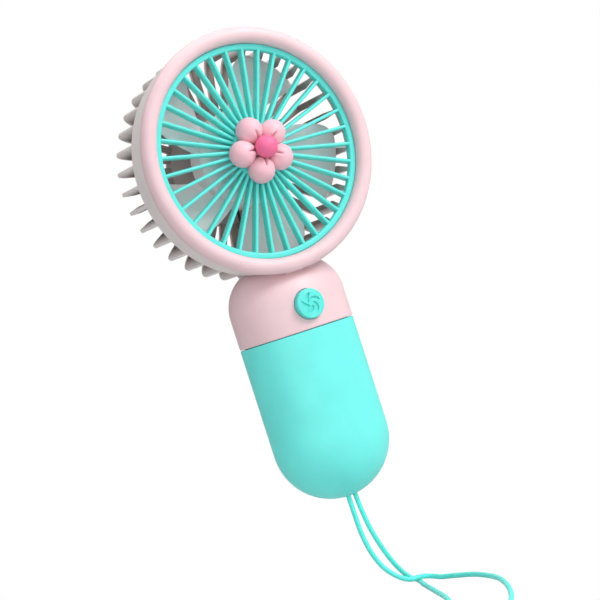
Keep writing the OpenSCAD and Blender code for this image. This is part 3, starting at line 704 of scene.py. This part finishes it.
# %% [markdown]
# ## The upper shell
#
# Lip and shoulder are one pink moulding. The lip is an outline spun about the head's axis: a fat
# round ring with a collar behind it for the barrel. The shoulder is a stack of ovals that shrink
# along a quarter circle, because its top rounds over alike all the way round. The saddle for the
# barrel and the cage, the hollow, the button's hole and the charging port are cut out of the
# shoulder, and a short neck joins it to the lip. The lip isn't merged by a boolean: it stands in
# the shoulder as a second closed skin, which keeps both surfaces clean.

# %% Outlines of the handle
SHOULDER_Z = 11.2
SHOULDER_R = 15.5
DOME_H = 21.4
WALL = 1.8
SADDLE_R = HEAD_R - 1.6


def ovals(inset, level, scale=1.0, steps=192):
    """Grid of level ovals: each is the handle's outline drawn in by an inset, then scaled."""
    angle = circle(steps)
    inset = np.broadcast_to(inset, level.shape)
    wide = (scale * np.maximum(HALF_W - inset, 0))[:, None]
    deep = (scale * np.maximum(HALF_D - inset, 0))[:, None]
    return np.stack([wide * np.cos(angle), deep * np.sin(angle), level[:, None] + 0 * angle], -1)


def shoulder(inset, foot, foot_round=0.0):
    """Closed shoulder: straight up from its foot, round over, and a flat top inside the head."""
    turn = np.radians(np.linspace(0, 74, 40))
    soft = np.radians(np.linspace(0, 90, 5))
    straight = np.linspace(foot + foot_round + 0.5, SHOULDER_Z, 12)
    levels = np.concatenate([foot + foot_round * (1 - np.cos(soft)), straight,
                             SHOULDER_Z + SHOULDER_R * np.sin(turn[1:])])
    insets = np.concatenate([foot_round * (1 - np.sin(soft)), 0 * straight,
                             SHOULDER_R * (1 - np.cos(turn[1:]))])
    body = ovals(inset + insets, levels)
    bottom = np.zeros_like(body[:1]) + (0, 0, foot)
    top = np.zeros_like(body[:1]) + (0, 0, levels[-1])
    return solid(np.concatenate([bottom, body, top]))


# %% Lip and shoulder
COLLAR_R = BARREL_R - 1.25
COLLAR_H = 3
SEAT_R = GRILLE_R - 1.25
NECK_W = 7.0
NECK_T = 0.4


def lip_outline():
    """Half section of the lip: its back, the round lip, the seat for the grille and the collar."""
    turn = np.radians(np.linspace(-30, 180, 34))
    lip = np.stack([LIP_MID_R + LIP_R * np.cos(turn), LIP_F + LIP_R * np.sin(turn)], -1)
    seat = GRILLE_F - GRILLE_T
    collar_f = BARREL_F - COLLAR_H
    back = [(COLLAR_R, collar_f), (BARREL_BORE_R, collar_f), (BARREL_BORE_R, BARREL_F),
            (BARREL_FRONT_R, BARREL_F)]
    inner = [(GRILLE_R + 0.05, seat), (SEAT_R, seat), (SEAT_R, seat - 1), (COLLAR_R, seat - 2)]
    corners = np.concatenate([back, lip, inner])
    return fillet(corners, [0, 0.2, 0, 0.25] + [0] * (len(corners) - 4))


def neck():
    """Small block under the lip's back that joins it to the shoulder."""
    back, high = -BARREL_F, HEAD_Z - SADDLE_R
    front = back - NECK_T
    corners = [(front, high - 1.3), (back, high - 2), (back, high), (front, high)]
    section = ring(fillet(corners, [0.1, 0, 0, 0]))
    ends = [np.insert(section, 0, x, axis=1) for x in (-NECK_W / 2, NECK_W / 2)]
    caps = [np.zeros_like(end) + end[:-1].mean(0) for end in ends]
    return solid(np.stack([caps[0], *ends, caps[1]]))


def saddle():
    """Room for the cage in the shoulder: a drum, wider where the barrel swells towards the lip."""
    far, step_f = 40, BARREL_REAR_F - 0.1
    return spin([(0, -far), (SADDLE_R, -far), (SADDLE_R, step_f), (SADDLE_R + 0.15, step_f),
                 (SADDLE_R + 1.05, BARREL_F), (SADDLE_R, BARREL_F + 0.01), (SADDLE_R, far), (0, far)], 288)


def cylinder_y(radius, low, high, z, steps, flare):
    """Closed cylinder along Y; its radius grows by the flare over its first millimetre."""
    angle = circle(steps)
    y = np.array([low, low, low + 1.0, high, high])[:, None]
    r = np.array([0, radius + flare, radius, radius, 0])[:, None]
    return solid(np.stack([r * np.cos(angle), y + 0 * angle, z + r * np.sin(angle)], -1))


def slot_rows(half_length, radii, steps):
    """Rows of a round-ended slot, one for each radius: two coordinates across it, 0 at a pole."""
    turn = ring(np.radians(np.concatenate([np.linspace(-90, 90, steps), np.linspace(90, 270, steps)])))
    side = ring(np.repeat([1.0, -1.0], steps) * half_length)
    radii = np.asarray(radii)[:, None]
    return side * np.sign(radii) + radii * np.cos(turn), radii * np.sin(turn)


def port_cutter(half_length, radius, low, high, z, flare):
    """Round-ended slot along Y, a little wider at its outer end."""
    x, up = slot_rows(half_length, [0, radius, radius, radius + flare, 0], 24)
    y = np.array([low, low, high - 0.6, high, high])[:, None]
    return solid(np.stack([x, y + 0 * x, z + up], -1))


main_shell = mesh_object("upper_shell_moulding", [shoulder(0.0, 0.0, 0.3)])
carve(main_shell, mesh_object("saddle", [saddle()]))


def hollow():
    """Inside of the shoulder: the drawn-in shape, its roof held below the saddle."""
    points, quads, triangles = shoulder(WALL, -1.0)
    room = SADDLE_R + 2
    roof = HEAD_Z - np.sqrt(np.maximum(room**2 - points[:, 0] ** 2, 0))
    points[:, 2] = np.minimum(points[:, 2], roof)
    return points, quads, triangles


carve(main_shell, mesh_object("hollow", [hollow()]))
BUTTON_R = 5.4
BUTTON_Z = (button_low[2] + button_high[2]) / 2
button_hole = cylinder_y(BUTTON_R + 0.22, -HALF_D - 1.2, -HALF_D + 4, BUTTON_Z, 128, 0.75)
carve(main_shell, mesh_object("button_hole", [button_hole]))
usb_low, usb_high = box_mm("usb_shell")
PORT_Z = (usb_low[2] + usb_high[2]) / 2
PORT_HALF = (usb_high[0] - usb_low[0] - (usb_high[2] - usb_low[2])) / 2
port_hole = port_cutter(PORT_HALF, 1.95, HALF_D - 4, HALF_D + 1, PORT_Z, 1.1)
carve(main_shell, mesh_object("port_hole", [port_hole]))
together(main_shell, mesh_object("lip", [revolve(lip_outline(), 288), neck()]))
dress(main_shell, "body", pink_shell, ["main_shell"])

# %% [markdown]
# ## The lower shell
#
# The aqua cup is moulded in one piece: half an ellipsoid under a straight oval wall. Its rim is
# slightly rounded and stops short of the pink shell, which leaves the fine dark line of the seam.
# A thin tongue stands inside the rim and slides into the shell above. Outside and inside are one
# stack of ovals from pole to pole, so the wall's thickness is exact and only the slot is cut.

# %% Make the cup


def cup():
    """Closed cup: outside from the pole up to the soft rim, then the tongue, then the inside."""
    turn = np.radians(np.linspace(90, 0, 44))
    dome_z = FOOT_Z + DOME_H
    top = -0.3
    soft = np.radians(np.linspace(0, 90, 6))
    outside = ovals(0.0, dome_z - DOME_H * np.sin(turn), np.cos(turn))
    wall = ovals(0.0, np.linspace(dome_z + 1, top - 0.4, 20))
    rim = ovals(0.3 * (1 - np.cos(soft)), top - 0.3 + 0.3 * np.sin(soft))
    tongue = ovals(np.array([1.9, 1.9, 2.1, 2.7, 2.9, 2.9]), np.array([top, 1.7, 2.0, 2.0, 1.7, -5.0]))
    inside_wall = ovals(WALL, np.linspace(-5.0, dome_z + 1, 8))
    inside = ovals(WALL, dome_z - (DOME_H - WALL) * np.sin(turn[::-1]), np.cos(turn[::-1]))
    return solid(np.concatenate([outside, wall, rim, tongue, inside_wall, inside]))


def cord_slot():
    """Round-ended slot through the lower end for the cord's two strands."""
    strand_x, strand_y = abs(ROUTE[0][0]), ROUTE[0][1]
    x, y = slot_rows(strand_x, [0, 1.8, 1.25, 1.25, 0], 16)
    z = FOOT_Z + np.array([-1, -1, 0.6, 4, 4])[:, None]
    return solid(np.stack([x, strand_y + y, z + 0 * x], -1))


lower_shell = mesh_object("lower_shell_moulding", [cup()])
carve(lower_shell, mesh_object("slot", [cord_slot()]))
dress(lower_shell, "body", aqua_shell, ["lower_shell"])

# %% [markdown]
# ## The front grille
#
# The grille is a flat moulding snapped in behind the lip: thirty-six straight ribs run from a
# small hub to a slim ring. Each rib is deeper than it is wide, with a rounded front edge that
# catches the light and flat sides that stay darker. One rib is made and then turned about the axis.

# %% Make the grille
RIBS = 36
RIB_W = 1.2
RIB_DEPTH = 3.3
HUB_R = 9.6


def bar(section, inner, outer, middle_f):
    """Straight bar along a radius: a closed section of (sideways, forward), closed at both ends."""
    section = ring(section)
    reach = np.array([inner, inner, outer, outer])[:, None]
    grow = np.array([0, 1, 1, 0])[:, None]
    x = reach + 0 * section[None, :, 0]
    forward = middle_f + grow * section[None, :, 1]
    return solid(np.stack([x, -forward, HEAD_Z + grow * section[None, :, 0]], -1))


def rib_section():
    """Section of a front rib: round at the front, a little wider at the back."""
    front, back, depth = RIB_W / 2 - 0.02, RIB_W / 2 + 0.06, RIB_DEPTH / 2
    corners = [(-back, -depth), (back, -depth), (front, depth), (-front, depth)]
    return fillet(corners, [0.2, 0.2, 0.52, 0.52], 7)


rim_back = GRILLE_F - GRILLE_T
rim_corners = [(GRILLE_R - 2.2, rim_back), (GRILLE_R, rim_back), (GRILLE_R, GRILLE_F),
               (GRILLE_R - 2.25, GRILLE_F)]
grille_rim = revolve(fillet(rim_corners, [0.3, 0.2, 0.5, 0.75], 7), 288)
hub_back = GRILLE_F - RIB_DEPTH
hub_corners = [(HUB_R, hub_back), (HUB_R, GRILLE_F), (0, GRILLE_F), (0, hub_back)]
grille_hub = spin([(0, hub_back), *fillet(hub_corners, [0.3, 0.5, 0, 0])])
rib = bar(rib_section(), HUB_R - 1, GRILLE_R - 1.2, GRILLE_F - RIB_DEPTH / 2 - 0.05)
ribs = turned_copies(rib, RIBS)
front_grille = mesh_object("front_grille_ribs", [grille_rim, grille_hub, *ribs])
dress(front_grille, "body", aqua_grille, ["front_grille"])

# %% [markdown]
# ## The flower
#
# Five soft balls with a pinched slit towards the middle make the petals, and a deeper pink ball
# is the eye. A petal is a sphere whose radius dips along a line: the dip is a bell curve across
# the line and fades at its outer end. Its back is pressed flat on the grille's hub.

# %% Make the flower
PETALS = 5
PETAL_RING = 7.6
PETAL_R = 4.8
EYE_R = (eye_high[0] - eye_low[0]) / 2
EYE_F = -eye_low[1] - EYE_R
PETAL_F = EYE_F - 4.55
BASE_F = GRILLE_F + 0.05
POST_R = 3.0
POST_F = EYE_F - EYE_R + 0.5
SLIT_DEPTH = 1.15
SLIT_W = 0.3
CHEEK_RISE = 0.2


def ball(rows, cols):
    """Directions on a sphere: sideways, outward and forward parts, from the front pole to the back."""
    down = np.linspace(0, math.pi, rows)[:, None]
    round_ = circle(cols)[None]
    return np.sin(down) * np.sin(round_), np.sin(down) * np.cos(round_), np.cos(down) + 0 * round_


def petal():
    """One petal on the +X side: a ball with a slit on the half of its front that faces the eye."""
    side, out, front = ball(72, 96)
    lean = np.degrees(np.arctan2(-out, front))
    near = np.clip((lean - 4) / 18, 0, 1) * np.clip((110 - lean) / 20, 0, 1)
    apart = np.abs(side) * PETAL_R
    slit = SLIT_DEPTH * np.exp(-(apart / SLIT_W) ** 1.3) * near
    cheek = CHEEK_RISE * np.exp(-((apart - 1.1) / 0.8) ** 2) * near
    radius = PETAL_R - slit + cheek
    x = PETAL_RING + radius * out
    f = np.maximum(PETAL_F + radius * front, BASE_F)
    return solid(np.stack([x, -f, HEAD_Z + radius * side], -1))


def eye():
    """The middle ball, flat where it sits on the petals' post."""
    side, out, front = ball(64, 96)
    f = np.maximum(EYE_F + EYE_R * front, EYE_F - EYE_R + 0.6)
    return solid(np.stack([EYE_R * out, -f, HEAD_Z + EYE_R * side], -1))


base_corners = [(7.8, BASE_F), (7.8, BASE_F + 1.2), (POST_R, BASE_F + 1.4), (POST_R, POST_F), (0, POST_F)]
flower_base = spin([(0, BASE_F), *fillet(base_corners, [0.2, 0.4, 0.8, 0.3, 0])])
petals = mesh_object("flower_petal_balls", [flower_base, *turned_copies(petal(), PETALS, 180)])
dress(petals, "body", petal_vinyl, ["flower_petals"])
flower_eye = mesh_object("flower_eye_ball", [eye()])
dress(flower_eye, "body", eye_vinyl, ["flower_eye"])

# %% [markdown]
# ## The rear cage
#
# The barrel and the cage behind it are one moulding in a lighter, greyer plastic than the lip.
# Thirty-six thin fins leave the barrel's rear edge, run back, turn a rounded corner and run in to
# the broad plate that carries the motor. A fin is wide on its inside and narrow on its outside,
# so that the mould opens. It is a bar of that section, carried along its path.

# %% Make the cage
FIN_DEPTH = 4.0
FIN_INNER_W = 2.5
FIN_OUTER_W = 1.24
FIN_STEP = 0.1
CORNER_R = 5.0
PLATE_R = 22.0
PLATE_T = 2.5
CUP_R = (can_high[0] - can_low[0]) / 2 + 0.15
CUP_WALL = 1.4
CUP_DEPTH = 6.3
CAP_R = 13.5
CAP_T = 1


def fin_section():
    """Section of a fin: wide on the inner side, narrow with soft corners on the outer side."""
    inner, outer, depth = FIN_INNER_W / 2, FIN_OUTER_W / 2, FIN_DEPTH / 2
    corners = [(-inner, -depth), (inner, -depth), (outer, depth), (-outer, depth)]
    return fillet(corners, [0.25, 0.25, 0.4, 0.4], 5)


def fin():
    """One fin: its section carried along a path, by the outward direction at each of its points.

    The path is the fin's middle line: back, a quarter circle, and in. At the front, the part of
    the section that lies inward of the barrel's wall slants back, so that no square end shows.
    """
    middle_r = CAGE_R - 0.25 - FIN_DEPTH / 2
    bend = CORNER_R - FIN_DEPTH / 2
    rear = REAR_F + FIN_STEP
    turn = np.radians(np.linspace(0, 90, 14))
    corner = np.stack([middle_r - bend * (1 - np.cos(turn)), rear + CORNER_R - bend * np.sin(turn)], -1)
    straight = np.array([[middle_r + 0.1, BARREL_REAR_F + 0.4], [middle_r + 0.05, REAR_F + CORNER_R + 6]])
    inward_r = np.linspace(middle_r - bend - 4, PLATE_R - 0.7, 4)
    inward = np.stack([inward_r, np.full(4, rear + FIN_DEPTH / 2)], -1)
    path = np.concatenate([straight, corner, inward])
    quarter = np.stack([np.cos(turn), -np.sin(turn)], -1)
    out = np.concatenate([np.tile([1, 0], (2, 1)), quarter, np.tile([0, -1], (4, 1))])
    section = ring(fin_section())
    r = path[:, None, 0] + out[:, None, 0] * section[None, :, 1]
    f = path[:, None, 1] + out[:, None, 1] * section[None, :, 1]
    side = section[None, :, 0] + 0 * r
    f[0] -= np.clip(BARREL_REAR_R - 1.4 - r[0], 0, 4) * 0.8
    wall = np.stack([r, -f, HEAD_Z + side], -1)
    ends = [np.zeros_like(wall[:1]) + wall[i, :-1].mean(0) for i in (0, -1)]
    return solid(np.concatenate([ends[0], wall, ends[1]]))


barrel_end = BARREL_F - 0.05
barrel_corners = [(BARREL_BORE_R, BARREL_REAR_F), (BARREL_REAR_R, BARREL_REAR_F),
                  (BARREL_FRONT_R, barrel_end), (BARREL_BORE_R, barrel_end)]
barrel = revolve(fillet(barrel_corners, [0.35, 0.6, 0.25, 0], 7), 288)
plate_front = REAR_F + PLATE_T
cup_front = plate_front + CUP_DEPTH
recess_r, recess_f = CAP_R + 0.1, REAR_F + CAP_T
plate_corners = [(recess_r, recess_f), (recess_r, REAR_F), (PLATE_R, REAR_F), (PLATE_R, plate_front),
                 (CUP_R + CUP_WALL, plate_front), (CUP_R + CUP_WALL, cup_front), (CUP_R, cup_front),
                 (CUP_R, plate_front), (0, plate_front)]
plate_outline = fillet(plate_corners, [0.15, 0.3, 0.8, 0.5, 0.3, 0.3, 0.3, 0.1, 0])
cage_plate = spin([(0, recess_f), *plate_outline, (0, plate_front)], 144)
wire_section = rounded_box_section(4.4, FIN_DEPTH - 0.3, 0.4)
wire_bar = bar(wire_section, PLATE_R - 1, CAGE_R - FIN_DEPTH - 5, REAR_F + FIN_DEPTH / 2)
fins = turned_copies(fin(), RIBS, -90)
rear_cage = mesh_object("rear_cage_fins", [barrel, cage_plate, *turned_copies(wire_bar, 1, -90), *fins])
dress(rear_cage, "body", pale_cage_with_painted_shade, ["rear_cage"])

groove_f = REAR_F + 0.35
cap_corners = [(CAP_R, recess_f), (CAP_R, REAR_F), (CAP_R - 2.0, REAR_F), (CAP_R - 2.4, groove_f),
               (CAP_R - 2.9, REAR_F), (0, REAR_F)]
cap_disc = spin([(0, recess_f), *fillet(cap_corners, [0.15, 0.35, 0.1, 0.15, 0.1, 0])], 144)
rear_cap = mesh_object("rear_cap_disc", [cap_disc])
dress(rear_cap, "body", pale_cage_with_painted_shade, ["rear_cap"])

# %% [markdown]
# ## The impeller
#
# Five wide blades grow out of a flat drum of a hub. Along a blade the angle shifts back with the
# radius, which gives the sickle sweep, and across it the surface climbs from back to front, with
# a slight belly. The thickness follows a rounded profile that closes at all its edges.

# %% Make the impeller
BLADES = 5
HUB_DRUM_R = 18.0
DRUM_REAR_F = -4.4
DRUM_FRONT_F = 6
BOSS_R = 3.2
BOSS_BORE_R = 1.02
BLADE_SPAN = 45
BLADE_SWEEP = 17
BLADE_RISE = 8.4
FIRST_BLADE = 70
TIP_R = CAGE_R - FIN_DEPTH - 0.9
BLADE_T = 1.1


def blade():
    """One blade about the +X direction: radius along the rows, chord round the columns."""
    reach = np.concatenate([[-0.05], np.linspace(-0.05, 1, 40)])[:, None]
    chord = np.linspace(0, 1, 33)
    along = np.concatenate([chord, chord[-2::-1]])[None]
    face = np.concatenate([-np.ones(33), np.ones(32)])[None]
    grow = np.clip(reach, 0, 1)
    shrink = 1 - 0.2 * grow**10 * (2 * along - 1) ** 2
    angle = np.radians(-BLADE_SWEEP * reach + BLADE_SPAN * (along - 0.5) * shrink)
    edge = np.sqrt(np.clip(1 - np.abs(2 * along - 1) ** 6, 0, 1)) * np.sqrt(np.clip(1 - grow**24, 0, 1))
    belly = 0.9 * np.sin(math.pi * along)
    forward = -0.2 + BLADE_RISE * (along - 0.5) * shrink + belly + face * edge * BLADE_T / 2
    radius = HUB_DRUM_R + (TIP_R - HUB_DRUM_R) * reach
    grid = in_head(radius + 0 * along, angle, forward)
    grid[0] = grid[0].mean(0)
    return solid(grid)


drum_in_r = HUB_DRUM_R - 1.4
drum_corners = [(HUB_DRUM_R - 2.6, 4.2), (drum_in_r, 3), (drum_in_r, DRUM_REAR_F), (HUB_DRUM_R, DRUM_REAR_F),
                (HUB_DRUM_R, 4.6), (HUB_DRUM_R - 3, 5.7), (0, DRUM_FRONT_F)]
drum_outline = fillet(drum_corners, [0.8, 0.8, 0.3, 0.5, 1.6, 3, 0], 7)
hub_skin = spin([(0, 4.4), *drum_outline, (0, DRUM_FRONT_F)], 144)
boss_corners = [(BOSS_BORE_R, -3.5), (BOSS_R, -3.5), (BOSS_R, 5), (BOSS_BORE_R, 5)]
hub_boss = revolve(fillet(boss_corners, [0.1, 0.3, 0, 0]), 64)
impeller = mesh_object("impeller_blades", [hub_skin, hub_boss, *turned_copies(blade(), BLADES, FIRST_BLADE)])
dress(impeller, "rotor", milky_blade, ["impeller"])

# %% [markdown]
# ## The button
#
# The round aqua button has a soft rim, and a sunk sign of five hooked vanes. Its face is a grid
# of radius and angle. A vane's middle line turns back as the radius grows, the vane is widest in
# its middle, and the depth falls off smoothly at its edges.

# %% Make the button
FACE_F = -button_low[1]
VANES = 5
VANE_FROM = 0.9
VANE_LENGTH = 2.9
VANE_SWEEP = 62
SIGN_DEPTH = 0.6
RIM_ROUND = 0.6
GROOVE_R = 4.55


def button_skin():
    """Button: the face with its sunk sign, the soft rim and the straight side, closed behind."""
    angle = circle(300)[None]
    r = np.concatenate([np.linspace(0, 4.3, 64), [4.45, 4.6, 4.75]])[:, None]
    rise = np.clip((r - VANE_FROM) / VANE_LENGTH, 0, 1)
    centre = -rise * math.radians(VANE_SWEEP)
    step = (angle - centre + math.pi / VANES) % (2 * math.pi / VANES) - math.pi / VANES
    half = 0.8 * np.sin(math.pi * rise) ** 0.5 + 0.02
    inside = np.clip((half - np.abs(step) * r) / 0.14 + 0.5, 0, 1) * (rise > 0) * (rise < 1)
    depth = SIGN_DEPTH * inside * inside * (3 - 2 * inside)
    groove = 0.12 * np.exp(-(((r - GROOVE_R) / 0.12) ** 2))
    face = FACE_F - depth - groove
    turn = np.radians(np.linspace(0, 90, 8))[:, None]
    rim_r = BUTTON_R - RIM_ROUND + RIM_ROUND * np.sin(turn)
    rim_f = FACE_F - RIM_ROUND + RIM_ROUND * np.cos(turn)
    side_r = np.array([BUTTON_R, BUTTON_R, 0])[:, None]
    back_f = -button_high[1] + 1.2
    side_f = np.array([FACE_F - 2, back_f, back_f])[:, None]
    radius = np.concatenate([r, rim_r, side_r]) + 0 * angle
    forward = np.concatenate([face, rim_f + 0 * angle, side_f + 0 * angle])
    return solid(np.stack([radius * np.cos(angle), -forward, BUTTON_Z + radius * np.sin(angle)], -1))


button = mesh_object("button_cap_sign", [button_skin()])
dress(button, "button", aqua_grille, ["button_cap"])

# %% [markdown]
# ## The parts inside
#
# Motor, battery, board, socket and screws keep their CAD shape. They only show through the cage
# and the port, so each gets the finish of its real material.

# %% Finish the CAD nodes
FINISHES = {
    steel: "motor_can motor_shaft motor_screws battery_tabs usb_shell board_screws cradle_screws",
    brass: "commutator front_bushing rear_bushing",
    ferrite: "motor_magnets inductor",
    winding: "armature",
    dark_plastic: "motor_end_cap motor_brushes switch_body usb_insert control_chip",
    white_plastic: "battery_cradle switch_plunger",
    red_insulation: "motor_wire_red battery_wire_red",
    black_insulation: "motor_wire_black battery_wire_black",
    cell_wrap: "battery_cell",
    foam: "battery_foam",
    board_mask: "circuit_board",
    aqua_shell: "cord_knot"}
for finish, names in FINISHES.items():
    for name in names.split():
        data = NODES[name].data
        data.materials.clear()
        data.materials.append(finish)
print(sum(len(names.split()) for names in FINISHES.values()), "CAD nodes have a finish")
